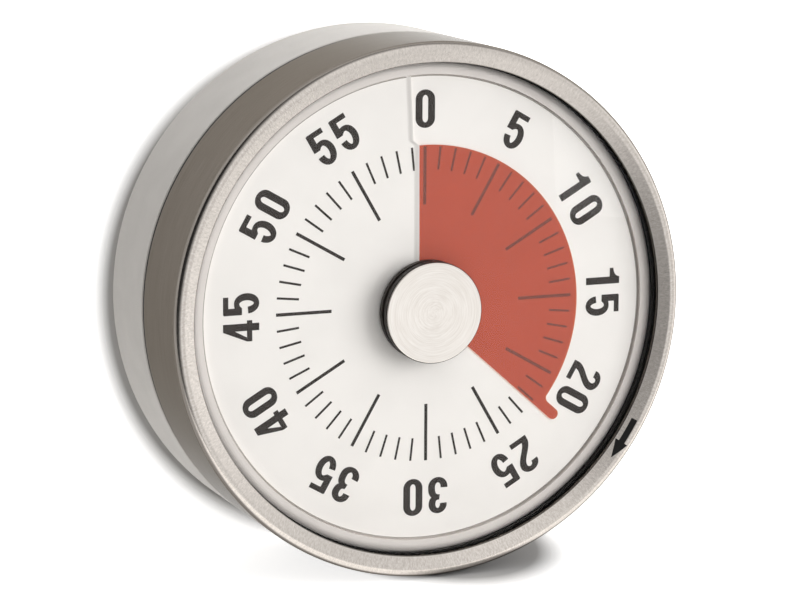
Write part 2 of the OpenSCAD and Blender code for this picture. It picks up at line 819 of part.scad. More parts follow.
// Hammer: an arbor with a finger for the cam above and the striker below
module hammer() {
    finger_h = cam_h + 0.1;
    arm_h = bell_h + 1.8;
    to_cam = hammer_a + 180;
    to_bell = bearing(hammer_at, striker_at);
    reach = norm(striker_at - hammer_at);
    color("#B5B7B8") {
        at(hammer_at, 0) {
            disc(0.75, arm_h - 0.2, train_h + 0.1 - arm_h + 0.2);
            disc(1.1, train_h + 0.1, front_plate_h - train_h - 0.2);
            disc(0.6, front_plate_h - 0.1, plate_t + 0.3);
            disc(1.6, arm_h - 0.2, 1.2);
            disc(1.7, finger_h - 0.4, 1.2);
        }
        at(hammer_at, finger_h) linear_extrude(0.5)
            rotate(to_cam)
                polygon([[0, -0.9], [hammer_r - 7, -0.55], [hammer_r - 6.15, 0],
                         [hammer_r - 7, 0.25], [0, 0.9]]);
        at(hammer_at, arm_h) linear_extrude(0.8)
            rotate(to_bell) translate([0, -0.7]) square([reach, 1.4]);
    }
    color("#C9A84E") at(striker_at, arm_h - 0.6)
        cylinder(r = striker_r, h = 2.2, $fn = 32);
}

module hammer_spring() {
    foot = polar(spring_foot_r, spring_foot_a);
    h = bell_h + 3.6;
    wire = 0.25;
    lean = bearing(hammer_at, foot);
    color("#7F868C") {
        at(foot, h) cylinder(r = wire, h = back_plate_h + plate_t - h, $fn = 16);
        at(foot, h) rotate(lean + 180) translate([0, -0.18, 0])
            cube([norm(foot - hammer_at) - 1.35, 0.36, 0.4]);
        at(hammer_at, h) tube(1.6, 1.1, 0, 0.4);
    }
}

upright() rear_case();
upright() back_cover();
upright() magnet();
upright() cover_screws();
upright() dial_tray();
upright() dial_sheet();
upright() front_plate();
upright() back_plate();
upright() plate_pillars();
upright() pillar_nuts();
upright() movement_screws();
upright() bell();
upright() bell_post();
upright() bell_screw();
upright() mainspring();
upright() bezel_cover();
upright() bezel_carrier();
upright() lens();
upright() centre_cap();
upright() arbor();
upright() film_hub();
upright() time_film();
upright() great_wheel();
upright() ratchet_wheel();
upright() click();
upright() click_spring();
upright() strike_cam();
upright() arbor_clip();
upright() second_wheel();
upright() second_pinion();
upright() third_wheel();
upright() third_pinion();
upright() escape_wheel();
upright() escape_pinion();
upright() pallet_lever();
upright() balance();
upright() hammer();
upright() hammer_spring();
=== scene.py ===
# %% [markdown]
# # A sixty-minute visual countdown timer
# The timer is a round case that hangs by a magnet. Its whole front turns: a brushed steel
# bezel, a clear lens and a spun cap, with a red film that shows the minutes left on a
# white dial. The CAD model is loaded as a fixed frame, and every new piece is built where
# that frame says, in metres, with the dial facing -Y and the zero mark up.

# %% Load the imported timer
import math

import bmesh
import bpy
from mathutils import Matrix, Vector
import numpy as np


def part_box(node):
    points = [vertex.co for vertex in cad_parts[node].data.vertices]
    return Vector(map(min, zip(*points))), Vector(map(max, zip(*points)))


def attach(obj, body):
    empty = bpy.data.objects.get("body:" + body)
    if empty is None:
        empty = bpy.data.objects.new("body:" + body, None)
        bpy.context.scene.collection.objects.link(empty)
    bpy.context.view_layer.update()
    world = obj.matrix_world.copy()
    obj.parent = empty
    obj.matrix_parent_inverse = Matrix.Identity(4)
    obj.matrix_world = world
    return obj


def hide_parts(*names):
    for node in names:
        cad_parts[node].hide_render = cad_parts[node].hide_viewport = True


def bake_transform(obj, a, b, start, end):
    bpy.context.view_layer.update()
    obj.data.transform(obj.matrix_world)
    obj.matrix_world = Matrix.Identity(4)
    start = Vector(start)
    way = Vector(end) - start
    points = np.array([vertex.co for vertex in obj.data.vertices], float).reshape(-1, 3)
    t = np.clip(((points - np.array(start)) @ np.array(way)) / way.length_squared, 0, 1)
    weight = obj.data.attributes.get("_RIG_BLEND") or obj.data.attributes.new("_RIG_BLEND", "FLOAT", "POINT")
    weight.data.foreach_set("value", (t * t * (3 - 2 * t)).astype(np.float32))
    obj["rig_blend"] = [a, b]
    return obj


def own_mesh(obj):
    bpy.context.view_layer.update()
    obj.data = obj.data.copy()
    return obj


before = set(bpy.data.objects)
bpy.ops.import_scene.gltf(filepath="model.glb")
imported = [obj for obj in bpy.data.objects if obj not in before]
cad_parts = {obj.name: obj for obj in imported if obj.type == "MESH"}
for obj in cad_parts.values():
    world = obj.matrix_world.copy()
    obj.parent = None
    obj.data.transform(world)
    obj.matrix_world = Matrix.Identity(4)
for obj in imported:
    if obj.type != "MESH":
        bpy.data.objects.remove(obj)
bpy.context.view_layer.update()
MM = 0.001

# %% [markdown]
# ## Colours and nodes
# Paint and print colours are chosen as sRGB hex values, the way a colour picker shows
# them, and Blender mixes light in linear values. One function turns the first into the
# second, and the others add the nodes of a shader with their settings and links.

# %% Helpers for materials
def linear(hex_colour):
    """An sRGB colour such as '#C8C0B4' as the linear RGBA that a shader socket takes."""
    channels = [int(hex_colour[i:i + 2], 16) / 255 for i in (1, 3, 5)]
    return (*[c / 12.92 if c <= 0.04045 else ((c + 0.055) / 1.055) ** 2.4
              for c in channels], 1.0)


def add(tree, kind, inputs=None, **settings):
    """Add a node; an input takes a plain value or, as a link, another node's output."""
    node = tree.nodes.new("ShaderNode" + kind)
    for name, value in settings.items():
        setattr(node, name, value)
    for name, value in (inputs or {}).items():
        if isinstance(value, bpy.types.NodeSocket):
            tree.links.new(value, node.inputs[name])
        else:
            node.inputs[name].default_value = value
    return node


def calc(tree, operation, a, b):
    """Output of a Math node for two values."""
    return add(tree, "Math", {0: a, 1: b}, operation=operation).outputs[0]


def vector(tree, operation, *values):
    """Output of a VectorMath node, which is one number for a length."""
    node = add(tree, "VectorMath", dict(enumerate(values)), operation=operation)
    return node.outputs["Value" if operation == "LENGTH" else "Vector"]


def remap(tree, value, low, high, to_low=0.0, to_high=1.0):
    """The range from low to high moved to the other range, and clamped to it."""
    return add(tree, "MapRange", {"Value": value, "From Min": low, "From Max": high,
                                  "To Min": to_low, "To Max": to_high}).outputs["Result"]


bpy.context.scene.view_settings.view_transform = "Standard"
print("steel grey in linear light:", [round(c, 3) for c in linear("#B8B4AE")])

# %% [markdown]
# ## Camera
# A long lens from some distance keeps a round object round. The camera stands to the left
# of the timer's axis and above it, and aims so that the middle of the bezel's opening
# falls on the wanted place in the frame.

# %% Place the camera
FRAME_W, FRAME_H = 800, 600
FOCAL_PX = 3132  # focal length in widths of a pixel
FROM_LEFT = math.radians(22.6)  # of the line from the camera to the opening's middle
FROM_ABOVE = math.radians(10.9)
CAMERA_DISTANCE = 0.450
OPENING_AT = (431.7, 311.5)  # where the opening's middle falls in the frame
AIM_POINT = Vector((0, -29.5, 0)) * MM


def look(azimuth, elevation):
    """Direction of view for a camera turned right by azimuth and down by elevation."""
    return Vector((math.sin(azimuth) * math.cos(elevation),
                   math.cos(azimuth) * math.cos(elevation), -math.sin(elevation)))


camera_data = bpy.data.cameras.new("camera")
camera_data.sensor_width = 36
camera_data.lens = 36 * FOCAL_PX / FRAME_W
camera_data.clip_start, camera_data.clip_end = 0.01, 20
camera = bpy.data.objects.new("camera", camera_data)
camera.location = AIM_POINT - look(FROM_LEFT, FROM_ABOVE) * CAMERA_DISTANCE
aim_azimuth = FROM_LEFT - math.atan((OPENING_AT[0] - FRAME_W / 2) / FOCAL_PX)
aim_elevation = FROM_ABOVE - math.atan((OPENING_AT[1] - FRAME_H / 2) / FOCAL_PX)
aim = look(aim_azimuth, aim_elevation)
camera.rotation_euler = aim.to_track_quat("-Z", "Y").to_euler()
bpy.context.scene.collection.objects.link(camera)
bpy.context.scene.camera = camera
print("lens", round(camera_data.lens, 1), "mm at", [round(c, 3) for c in camera.location])

# %% [markdown]
# ## Finish of the floor and the wall
# The timer stands on a pale floor, with its magnet against a pale wall. Both are made white by a little
# light of their own. Next to the timer each board has an oval of painted shadow, where that light fades out
# and the board's colour is darker, so that a dark edge of shadow shows. The camera, metal and glass see this
# light, and matt surfaces don't, so it adds nothing to the light on the timer. The wall can be seen from its
# front alone and lets light by, so that it doesn't hide the timer from behind.

# %% Board that looks white
OWN_LIGHT = 0.75  # of the board, where 1 is white


def seeing_ray(tree):
    """1 for rays from the camera and for those that leave metal or pass through glass."""
    path = add(tree, "LightPath").outputs
    mirrored = calc(tree, "MAXIMUM", path["Is Glossy Ray"], path["Is Transmission Ray"])
    return calc(tree, "MAXIMUM", path["Is Camera Ray"], mirrored)


def stage_finish(name, shadow, lets_light_by):
    """Matt white board with a clear back; with lets_light_by only seeing rays meet it.
    The shadow is a painted shadow: an oval, given by its middle and half sizes in metres, inside which the
    board is painted darker and has no light of its own; at fade times its size the board has the whole of
    both."""
    middle, half_sizes, fade = shadow
    material = bpy.data.materials.new(name)
    material.use_nodes = True
    tree = material.node_tree
    tree.nodes.clear()
    off = vector(tree, "SUBTRACT", add(tree, "TexCoord").outputs["Object"], middle)
    per_half = [1 / half if half else 0 for half in half_sizes]
    in_halves = vector(tree, "LENGTH", vector(tree, "MULTIPLY", off, per_half))
    # The oval is a painted shadow: inside it the board's colour goes to a darker grey and its own light
    # fades out.
    clear_of_painted_shadow = remap(tree, in_halves, 1.0, fade)
    colour = add(tree, "Mix", {0: clear_of_painted_shadow, 6: linear("#BFBEBD"), 7: linear("#F4F3F1")},
                 data_type="RGBA")
    board = add(tree, "BsdfDiffuse", {"Color": colour.outputs[2]})
    strength = calc(tree, "MULTIPLY", clear_of_painted_shadow, OWN_LIGHT)
    if lets_light_by:  # metal on the timer's back sees the whole board lit
        is_camera = add(tree, "LightPath").outputs["Is Camera Ray"]
        strength = add(tree, "Mix", {0: is_camera, 2: OWN_LIGHT, 3: strength},
                       data_type="FLOAT").outputs[0]
    glow = add(tree, "Emission", {"Color": (1, 1, 1, 1), "Strength": strength})
    lit = add(tree, "AddShader", {0: board.outputs[0], 1: glow.outputs[0]})
    clear = add(tree, "BsdfTransparent")
    unseen = clear if lets_light_by else board
    seen = add(tree, "MixShader", {0: seeing_ray(tree), 1: unseen.outputs[0],
                                   2: lit.outputs[0]})
    front = add(tree, "MixShader", {0: add(tree, "NewGeometry").outputs["Backfacing"],
                                    1: seen.outputs[0], 2: clear.outputs[0]})
    add(tree, "OutputMaterial", {"Surface": front.outputs[0]})
    return material


print("a board's own light:", OWN_LIGHT)

# %% [markdown]
# ## Floor and wall
# Both are square boards. The floor ends a little in front of the timer, where the world's white carries it
# on, so no horizon shows. The painted shadow on the wall lies a little to the left of the case and below it,
# away from the light, and the floor's lies under the timer.

# %% Floor and wall
STAGE_HALF = 1.5
FLOOR_FRONT = 0.062  # how far the floor reaches in front of the wall
STAGE_GAP = 0.0003  # keeps the stage clear of the faces that touch it
case_low, case_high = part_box("rear_case")
# Each oval of painted shadow: its middle, its half sizes and its fade.
FLOOR_PAINTED_SHADOW = ((0.008, -0.008, case_low.z), (0.015, 0.025, 0), 1.3)
WALL_PAINTED_SHADOW = ((-0.0015, 0, -0.0008), (0.0377, 0, 0.0377), 1.065)


def as_object(bm, name, material):
    """An object in the scene with the bmesh's faces and one material."""
    mesh = bpy.data.meshes.new(name)
    bm.to_mesh(mesh)
    bm.free()
    mesh.materials.append(material)
    made = bpy.data.objects.new(name, mesh)
    bpy.context.scene.collection.objects.link(made)
    return made


def stage_board(name, turn, middle, shadow, lets_light_by):
    """Square board with the stage's finish, facing +Z before turn is applied."""
    bm = bmesh.new()
    bmesh.ops.create_grid(bm, x_segments=1, y_segments=1, size=STAGE_HALF)
    bmesh.ops.transform(bm, matrix=Matrix.Translation(middle) @ turn, verts=bm.verts)
    board = as_object(bm, name, stage_finish("matt_white_" + name, shadow, lets_light_by))


stage_board("floor", Matrix.Identity(4), (0, STAGE_HALF - FLOOR_FRONT, case_low.z - STAGE_GAP),
            FLOOR_PAINTED_SHADOW, lets_light_by=False)
stage_board("wall", Matrix.Rotation(math.radians(90), 4, "X"), (0, STAGE_GAP, 0),
            WALL_PAINTED_SHADOW, lets_light_by=True)
print("floor at", round(case_low.z / MM, 2), "mm below the middle")

# %% [markdown]
# ## Lamps
# A large softbox stands to the right at the height of the timer, so a soft shadow falls
# to the left, and a weak one hangs above. An area lamp shines in steel as a hard bright
# shape, so neither lamp is seen by reflections, and the room is left to make them.

# %% Hang the lamps
def softbox(name, azimuth, elevation, distance, width, height, power):
    """Rectangular lamp that faces the timer; azimuth is to the right of its axis."""
    lamp = bpy.data.lights.new(name, "AREA")
    lamp.shape = "RECTANGLE"
    lamp.size, lamp.size_y = width, height
    lamp.energy = power
    holder = bpy.data.objects.new(name, lamp)
    away = -look(math.radians(-azimuth), math.radians(elevation))
    holder.location = away * distance
    holder.rotation_euler = (-away).to_track_quat("-Z", "Y").to_euler()
    bpy.context.scene.collection.objects.link(holder)
    return holder


key = softbox("key_softbox", azimuth=43, elevation=10, distance=0.9,
              width=0.6, height=0.6, power=4.1)
top = softbox("top_softbox", azimuth=0, elevation=78, distance=0.9,
              width=0.8, height=0.5, power=0.4)
for lamp in (key, top):
    lamp.visible_glossy = False
    print(lamp.name, lamp.data.energy, "W")

# %% [markdown]
# ## Room
# The world gives the rest of the light: the room is pale on the right, grey in front and
# dark on the left, because steel looks like steel only when it has both to reflect.
# Behind the timer the room is pale too, and there metal and glass see plain white, as the
# camera does everywhere. A colour ramp on the direction's x holds these tones.

# %% Paint the room
world = bpy.data.worlds.new("white_room")
world.use_nodes = True
bpy.context.scene.world = world
sky = world.node_tree
sky.nodes.clear()
direction = add(sky, "SeparateXYZ", {0: add(sky, "TexCoord").outputs["Generated"]})
# Each pair is the x of a direction, from left to right, and the light from there.
ROOM = [(-0.62, 0.06), (-0.50, 0.34), (-0.25, 0.56), (-0.10, 1.00), (0.20, 1.10),
        (0.36, 0.98), (0.60, 0.90), (0.85, 1.05), (0.97, 1.45)]
side = add(sky, "ValToRGB", {"Fac": remap(sky, direction.outputs["X"], -1.0, 1.0)})
stops = side.color_ramp.elements
for i, (x, light) in enumerate(ROOM):
    stop = stops[i] if i < len(stops) else stops.new((x + 1) / 2)
    stop.position, stop.color = (x + 1) / 2, (light, light, light, 1)
in_front = add(sky, "RGBToBW", {"Color": side.outputs["Color"]})
paler = remap(sky, direction.outputs["Y"], 0.0, 0.3, 0.0, 0.75)
room_light = calc(sky, "MAXIMUM", in_front.outputs[0], paler)
room = add(sky, "Background", {"Color": (1, 1, 1, 1), "Strength": room_light})
white = add(sky, "Background", {"Color": (1, 1, 1, 1), "Strength": 1.0})
behind = remap(sky, direction.outputs["Y"], 0.0, 0.2)
backdrop = calc(sky, "MULTIPLY", seeing_ray(sky), behind)
shows_white = calc(sky, "MAXIMUM", backdrop, add(sky, "LightPath").outputs["Is Camera Ray"])
world_mix = add(sky, "MixShader", {0: shows_white, 1: room.outputs[0], 2: white.outputs[0]})
add(sky, "OutputWorld", {"Surface": world_mix.outputs[0]})
print("world nodes:", len(sky.nodes))

# %% [markdown]
# ## Measures from the frame
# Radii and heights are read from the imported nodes, in millimetres. Heights are counted
# from the magnet's face towards the dial, as on the bench, so a height of 27 mm is at
# y = -0.027.

# %% Read the measures
STEEL_T = 0.5  # thickness of the bezel's drawn steel
PRINT_ROOM = 0.03  # kept free on the crest for the arrow's print
case_r = case_high.x / MM
crest_h = -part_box("bezel_cover")[0].y / MM - PRINT_ROOM
bezel_back_h = -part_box("bezel_cover")[1].y / MM
lens_back_h = -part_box("lens")[1].y / MM
lens_top_h = -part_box("lens")[0].y / MM
lip_h = lens_top_h + STEEL_T
cap_low, cap_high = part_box("centre_cap")
cap_r, cap_top_h = cap_high.x / MM, -cap_low.y / MM
sheet_low, sheet_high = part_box("dial_sheet")
dial_r, sheet_top_h = sheet_high.x / MM, -sheet_low.y / MM
sheet_back_h = -sheet_high.y / MM
film_back_h = -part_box("time_film")[1].y / MM
opening_r = 35.95  # radius of the steel bezel's opening
film_r = 23.9  # radius of the film without its tab
minutes = 22  # shown by the film at rest
print("case radius", round(case_r, 2), "crest", round(crest_h, 2), "dial", round(dial_r, 2),
      "sheet", round(sheet_top_h, 2), "film under it", round(film_back_h, 2))


def place(r, h, degrees=90):
    """A point in metres, r from the axis and h above the magnet; 90 degrees is up."""
    angle = math.radians(degrees)
    return Vector((r * math.cos(angle), -h, r * math.sin(angle))) * MM


# %% [markdown]
# ## Sections of turned pieces
# The bezel, cap and dial are turned or drawn round an axis. Each starts as half a section:
# one vertex that is extruded from corner to corner, and spun in small steps where the
# corner is round.

# %% Draw a section
HOLD = 0.04  # mm from a flat face's end to the stop that holds it flat
HOLD_SHARE = 0.15  # a move gets no such stops where they take more of it


def draw_section(bm, start, *moves):
    """Draw with one vertex: (r, h) is a straight move, (r, h, degrees, steps) an arc
    about that centre, anticlockwise with the radius to the right and the height up. A
    long straight move gets a stop close to each end, which keeps its shading flat."""
    last = bm.verts.new(place(start[0], start[1], 0))
    for move in moves:
        if len(move) == 2:
            path = place(move[0], move[1], 0) - last.co
            hold = HOLD * MM / path.length
            stops = [last.co + path * share for share in (hold, 1 - hold, 1)]
            for stop in (stops if hold < HOLD_SHARE else stops[-1:]):
                last = bmesh.ops.extrude_vert_indiv(bm, verts=[last])["verts"][0]
                last.co = stop
        else:
            r, h, turn, steps = move
            made = bmesh.ops.spin(bm, geom=[last], cent=place(r, h, 0), axis=(0, 0, -1),
                                  angle=math.radians(turn), steps=steps,
                                  use_merge=False, use_duplicate=False)
            last = [g for g in made["geom_last"] if isinstance(g, bmesh.types.BMVert)][0]


# %% [markdown]
# ## From a section to a finished piece
# A full spin about the timer's axis closes the section. The doubles on the axis and at the
# seam are merged, and then the normals are recalculated to point outwards. Faces are
# shaded smooth, and edges that turn more than SHARP stay crisp.

# %% Close, turn and keep a piece
AXIS = Vector((0, 1, 0))
TURNS = 256  # steps of a full turn: a step of 1 mm on the bezel
SHARP = math.radians(32)
MERGE = 0.002  # mm between vertices that count as one


def close_up(bm):
    """Merge doubles, turn the faces outwards and smooth all but the sharp edges."""
    bmesh.ops.remove_doubles(bm, verts=bm.verts, dist=MERGE * MM)
    bmesh.ops.recalc_face_normals(bm, faces=bm.faces)
    for face in bm.faces:
        face.smooth = True
    for edge in bm.edges:
        edge.smooth = edge.is_manifold and edge.calc_face_angle(0) < SHARP


def keep(bm, name, body, material, stands_for=()):
    """Turn a bmesh into a finished piece of the timer that rides on a body."""
    piece = as_object(bm, name, material)
    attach(piece, body)
    if stands_for:
        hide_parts(*stands_for)
    print(name, "on", body, "with", len(piece.data.polygons), "faces")
    return piece


def turned(*section, turns=TURNS):
    """A closed bmesh spun from half a section."""
    bm = bmesh.new()
    draw_section(bm, *section)
    bmesh.ops.spin(bm, geom=bm.verts[:] + bm.edges[:], cent=(0, 0, 0), axis=AXIS,
                   angle=math.tau, steps=turns, use_merge=True, use_duplicate=False)
    close_up(bm)
    return bm


def ring(r_in, r_out, low, high, turns=TURNS):
    """A turned flat ring between two radii and two heights."""
    return turned((r_in, low), (r_out, low), (r_out, high), (r_in, high), (r_in, low),
                  turns=turns)


print("a full turn takes", TURNS, "steps")

# %% [markdown]
# ## Where a pattern lies on a round piece
# Brushing and lathe marks run round the axis. This helper gives a noise three measures:
# the distance from the axis, the height, and a direction round the axis whose length is
# set by how far one mark runs. The distance goes in as a fourth dimension, so that a mark
# keeps its distance from the axis all the way.

# %% Noise round the axis and in grains
def from_axis(tree):
    """The vector from the axis to the shaded point, and its length."""
    flat = vector(tree, "MULTIPLY", add(tree, "TexCoord").outputs["Object"], (1, 0, 1))
    return flat, vector(tree, "LENGTH", flat)


def round_noise(tree, across, along):
    """Noise whose marks are across mm wide and along mm long round the axis."""
    flat, radius = from_axis(tree)
    around = add(tree, "VectorMath", {0: vector(tree, "NORMALIZE", flat),
                                      "Scale": case_r / along}, operation="SCALE")
    height = vector(tree, "MULTIPLY", add(tree, "TexCoord").outputs["Object"],
                    (0, 1 / (across * MM), 0))
    where = vector(tree, "ADD", around.outputs[0], height)
    rings = calc(tree, "MULTIPLY", radius, 1 / (across * MM))
    return add(tree, "TexNoise", {"Vector": where, "W": rings,
                                  "Scale": 1.0, "Detail": 3.0, "Roughness": 0.6},
               noise_dimensions="4D").outputs["Fac"]


def grain(tree, size_mm, detail=3.0):
    """Noise with grains of one size in all directions."""
    return add(tree, "TexNoise", {"Vector": add(tree, "TexCoord").outputs["Object"],
                                  "Scale": 1 / (size_mm * MM), "Detail": detail}).outputs["Fac"]


# %% [markdown]
# ## Steps that finishes share
# Each finish starts from a Principled shader with plain values. Then a pattern may move its
# colour a little from a darker to a lighter shade, raise its bump, and spread its
# roughness, because no moulded, brushed or printed surface is quite even.

# %% Finish helpers
def new_finish(name, colour, **sockets):
    """A material with a Principled shader; sockets are its plain input values."""
    material = bpy.data.materials.new(name)
    material.use_nodes = True
    tree = material.node_tree
    skin = tree.nodes["Principled BSDF"]
    skin.inputs["Base Color"].default_value = linear(colour)
    for socket, value in sockets.items():
        skin.inputs[socket.replace("_", " ")].default_value = value
    return material, tree, skin


def shades(tree, amount, dark, light, low=0.3, high=0.7):
    """Colour from dark, where a pattern is low, to light, where it is high."""
    ramp = add(tree, "ValToRGB", {"Fac": amount})
    for end, position, colour in zip(ramp.color_ramp.elements, (low, high), (dark, light)):
        end.position, end.color = position, linear(colour)
    return ramp.outputs["Color"]


def tint(tree, skin, amount, dark, light, low=0.3, high=0.7):
    """Colour the shader in such shades."""
    colour = shades(tree, amount, dark, light, low, high)
    tree.links.new(colour, skin.inputs["Base Color"])


def emboss(tree, skin, amount, depth_mm):
    """Bump from a pattern's value, depth_mm deep from 0 to 1."""
    bump = add(tree, "Bump", {"Height": amount, "Distance": depth_mm * MM})
    tree.links.new(bump.outputs["Normal"], skin.inputs["Normal"])


def spread(tree, skin, amount, low, high):
    """Roughness between low and high by a pattern's value."""
    tree.links.new(remap(tree, amount, 0.3, 0.7, low, high), skin.inputs["Roughness"])


def show(tree, surface):
    """Make a shader's output the material's surface."""
    tree.links.new(surface, tree.nodes["Material Output"].inputs["Surface"])


# %% [markdown]
# ## Bezel
# The bezel is drawn from half a millimetre of stainless steel. From its opening it slopes
# up, goes over the crest with a round of a millimetre and down into the wall. The slope
# is a tangent of that round, and small flats break the edges at its two ends.

# %% Bezel's section
CREST_ROUND = 1.0
BACK_FLAT = 0.2
LIP_FLAT, LIP_DROP = 0.06, 0.03
crest_r, crest_centre_h = case_r - CREST_ROUND, crest_h - CREST_ROUND
to_crest = Vector((crest_r - opening_r, crest_centre_h - lip_h))
slope = math.atan2(to_crest.y, to_crest.x) + math.asin(CREST_ROUND / to_crest.length)
foot_r = crest_r - CREST_ROUND * math.sin(slope)
inner_r = case_r - STEEL_T
bezel = turned((inner_r, bezel_back_h), (case_r - BACK_FLAT, bezel_back_h),
               (case_r, bezel_back_h + BACK_FLAT), (case_r, crest_centre_h),
               (crest_r, crest_centre_h, 90 + math.degrees(slope), 18),
               (opening_r + LIP_FLAT, lip_h + LIP_FLAT * math.tan(slope)),
               (opening_r, lip_h - LIP_DROP), (opening_r, lens_top_h),
               (crest_r, crest_h - STEEL_T), (inner_r, crest_centre_h),
               (inner_r, bezel_back_h))
print("slope", round(math.degrees(slope), 1), "degrees from radius", round(opening_r, 2),
      "to", round(foot_r, 2), "wall at", round(case_r, 3))

# %% [markdown]
# ## Brushed steel
# The wall is brushed while it turns, so fine lines run round it. It is painted in darker shades than the
# slope, a painted shade for the dark surroundings that the steel reflects there, and a thin band at the
# opening is darkened as painted shade along the lip. The slope is brushed across and shows short fine hairs.
# Real lines are 0.02 to 0.05 mm wide; here they are 0.12 mm, so that they show. The distance from the axis
# picks one finish or the other. The specular tint keeps the steel from turning white at a grazing view.

# %% Bezel's finish
WALL_LINE = (0.12, 6)  # mm across a line of the brushing, and along it
SLOPE_HAIR = (0.45, 0.2)
bezel_steel, tree, skin = new_finish("brushed_stainless_steel", "#C9C3BB", Metallic=1.0,
                                     Roughness=0.22, Specular_Tint=linear("#B4B1AD"))
wall_lines = round_noise(tree, *WALL_LINE)
slope_hairs = round_noise(tree, *SLOPE_HAIR)
radius = from_axis(tree)[1]
# The wall's darker shades and a thin band at the opening are painted shade: the first for the dark
# surroundings that the wall reflects, the second along the lip.
on_wall = remap(tree, radius, (case_r - 0.53) * MM, (case_r - 0.29) * MM)
painted_shade_at_lip = remap(tree, radius, (opening_r + 0.13) * MM, (opening_r + 0.06) * MM)
painted_shade_mask = calc(tree, "MAXIMUM", on_wall, painted_shade_at_lip)
steel_colour = add(tree, "Mix", {0: painted_shade_mask, 6: shades(tree, slope_hairs, "#C2BBB4", "#D9D2CB"),
                                 7: shades(tree, wall_lines, "#6A6560", "#7E7974")},
                   data_type="RGBA")
tree.links.new(steel_colour.outputs[2], skin.inputs["Base Color"])
steel_grain = add(tree, "Mix", {0: on_wall, 2: slope_hairs, 3: wall_lines}, data_type="FLOAT")
emboss(tree, skin, steel_grain.outputs[0], 0.002)
keep(bezel, "brushed_bezel", "turning_head", bezel_steel, ["bezel_cover"])

# %% [markdown]
# ## Centre cap
# The knob in the middle is black, a painted shade for the dark side of the cap, and has a disc of steel on
# its face. The disc is faced on a lathe. That leaves fine rings, which stretch a highlight across them, so
# the shader is anisotropic round the axis.

# %% Cap's finishes
cap_metal, tree, skin = new_finish("faced_stainless_steel", "#EFE9E1", Metallic=1.0,
                                   Roughness=0.33, Anisotropic=0.5)
turning = add(tree, "Tangent", direction_type="RADIAL", axis="Y")
tree.links.new(turning.outputs["Tangent"], skin.inputs["Tangent"])
lathe_marks = round_noise(tree, 0.14, 24)
tint(tree, skin, lathe_marks, "#E8E1D9", "#FBF6F0")
emboss(tree, skin, lathe_marks, 0.0015)
# Black of the knob and the spacer: painted shade for the dark side of the cap.
knob_shade_black, tree, skin = new_finish("black_knob_painted_shade", "#2C2521", Roughness=0.5,
                                    IOR=1.5)
knob_grit = grain(tree, 0.3)
emboss(tree, skin, knob_grit, 0.003)
tint(tree, skin, knob_grit, "#29221E", "#302925", 0.35, 0.65)
print("finishes so far:", len(bpy.data.materials))

# %% [markdown]
# ## Knob, spacer and face disc
# The disc stands a little proud of the knob's rim and inside it, so a fine dark edge of the knob's painted
# shade shows round the steel. The spacer under the lens carries on the knob's outline and its black down to
# the film, painted shade between the cap and the film. All three are turned.

# %% Turn the cap
CAP_TURNS = 128
BORE_R = 4.4  # of the spacer, which goes over the film's hub
SEAT_T = 0.3  # from the cap's face down to the disc's seat
DISC_ROUND = 0.14
FIT = 0.01  # between pieces that would touch
rim_top_h = cap_top_h - 0.15
seat_h, seat_r = cap_top_h - SEAT_T, cap_r - 0.2
knob = turned((0, lens_top_h), (cap_r - 0.15, lens_top_h), (cap_r, lens_top_h + 0.15),
              (cap_r, rim_top_h - 0.05), (cap_r - 0.05, rim_top_h), (seat_r, rim_top_h),
              (seat_r, seat_h), (0, seat_h), (0, lens_top_h), turns=CAP_TURNS)
keep(knob, "cap_knob", "turning_head", knob_shade_black)
spacer_foot_h, spacer_r = sheet_top_h + 0.45, cap_r - 0.05
spacer = turned((BORE_R, spacer_foot_h), (spacer_r - 0.05, spacer_foot_h),
                (spacer_r, spacer_foot_h + 0.05), (spacer_r, lens_back_h - FIT),
                (BORE_R, lens_back_h - FIT), (BORE_R, spacer_foot_h), turns=CAP_TURNS)
keep(spacer, "knob_spacer", "turning_head", knob_shade_black)
disc_r, disc_edge_h = cap_r - 0.1, cap_top_h - DISC_ROUND
face = turned((0, seat_h + FIT), (seat_r - FIT, seat_h + FIT), (seat_r - FIT, disc_edge_h),
              (disc_r, disc_edge_h), (disc_r - DISC_ROUND, disc_edge_h, 90, 5),
              (0, cap_top_h), (0, seat_h + FIT), turns=CAP_TURNS)
keep(face, "cap_face_disc", "turning_head", cap_metal, ["centre_cap"])

# %% [markdown]
# ## Dial sheet
# The dial is a white printed sheet: a turned disc with a hole for the film's hub and a
# broken edge. Fine grit and faint clouds keep its satin white from looking like plain light.

# %% White printed sheet
dial_white, tree, skin = new_finish("satin_printed_polystyrene_sheet", "#F4F0EC",
                                    Roughness=0.5, IOR=1.49)
tint(tree, skin, grain(tree, 9.0, 2.0), "#F0ECE8", "#F4F0EC", 0.3, 0.6)
emboss(tree, skin, grain(tree, 0.4), 0.002)
HOLE_R = 4.2
rim_r = dial_r - 0.06
sheet = turned((HOLE_R, sheet_back_h), (rim_r - 0.1, sheet_back_h),
               (rim_r, sheet_back_h + 0.1), (rim_r, sheet_top_h - 0.08),
               (rim_r - 0.08, sheet_top_h), (HOLE_R, sheet_top_h), (HOLE_R, sheet_back_h))
print("sheet", len(sheet.faces), "faces, radius", round(rim_r, 2))

# %% [markdown]
# ## Lap at the joint
# A joint line runs from the middle past the zero mark to the sheet's edge. Its left side
# laps over and lifts a little, and the film comes out from under it. The lap is a row of
# vertices along the joint, extruded step by step to the left until it is flush with the
# sheet, and merged into the sheet's mesh.

# %% Lap
LIFT_H = 0.24  # of the lap's edge above the sheet
slit_x, joint_x = -1.15, -2.05  # of the joint beside the film and beyond it
JOG_END, LEAN = 24.65, 0.043  # from this height on the joint leans to the left


def smooth_step(t):
    """Eased move from 0 to 1."""
    t = min(1.0, max(0.0, t))
    return t * t * (3 - 2 * t)


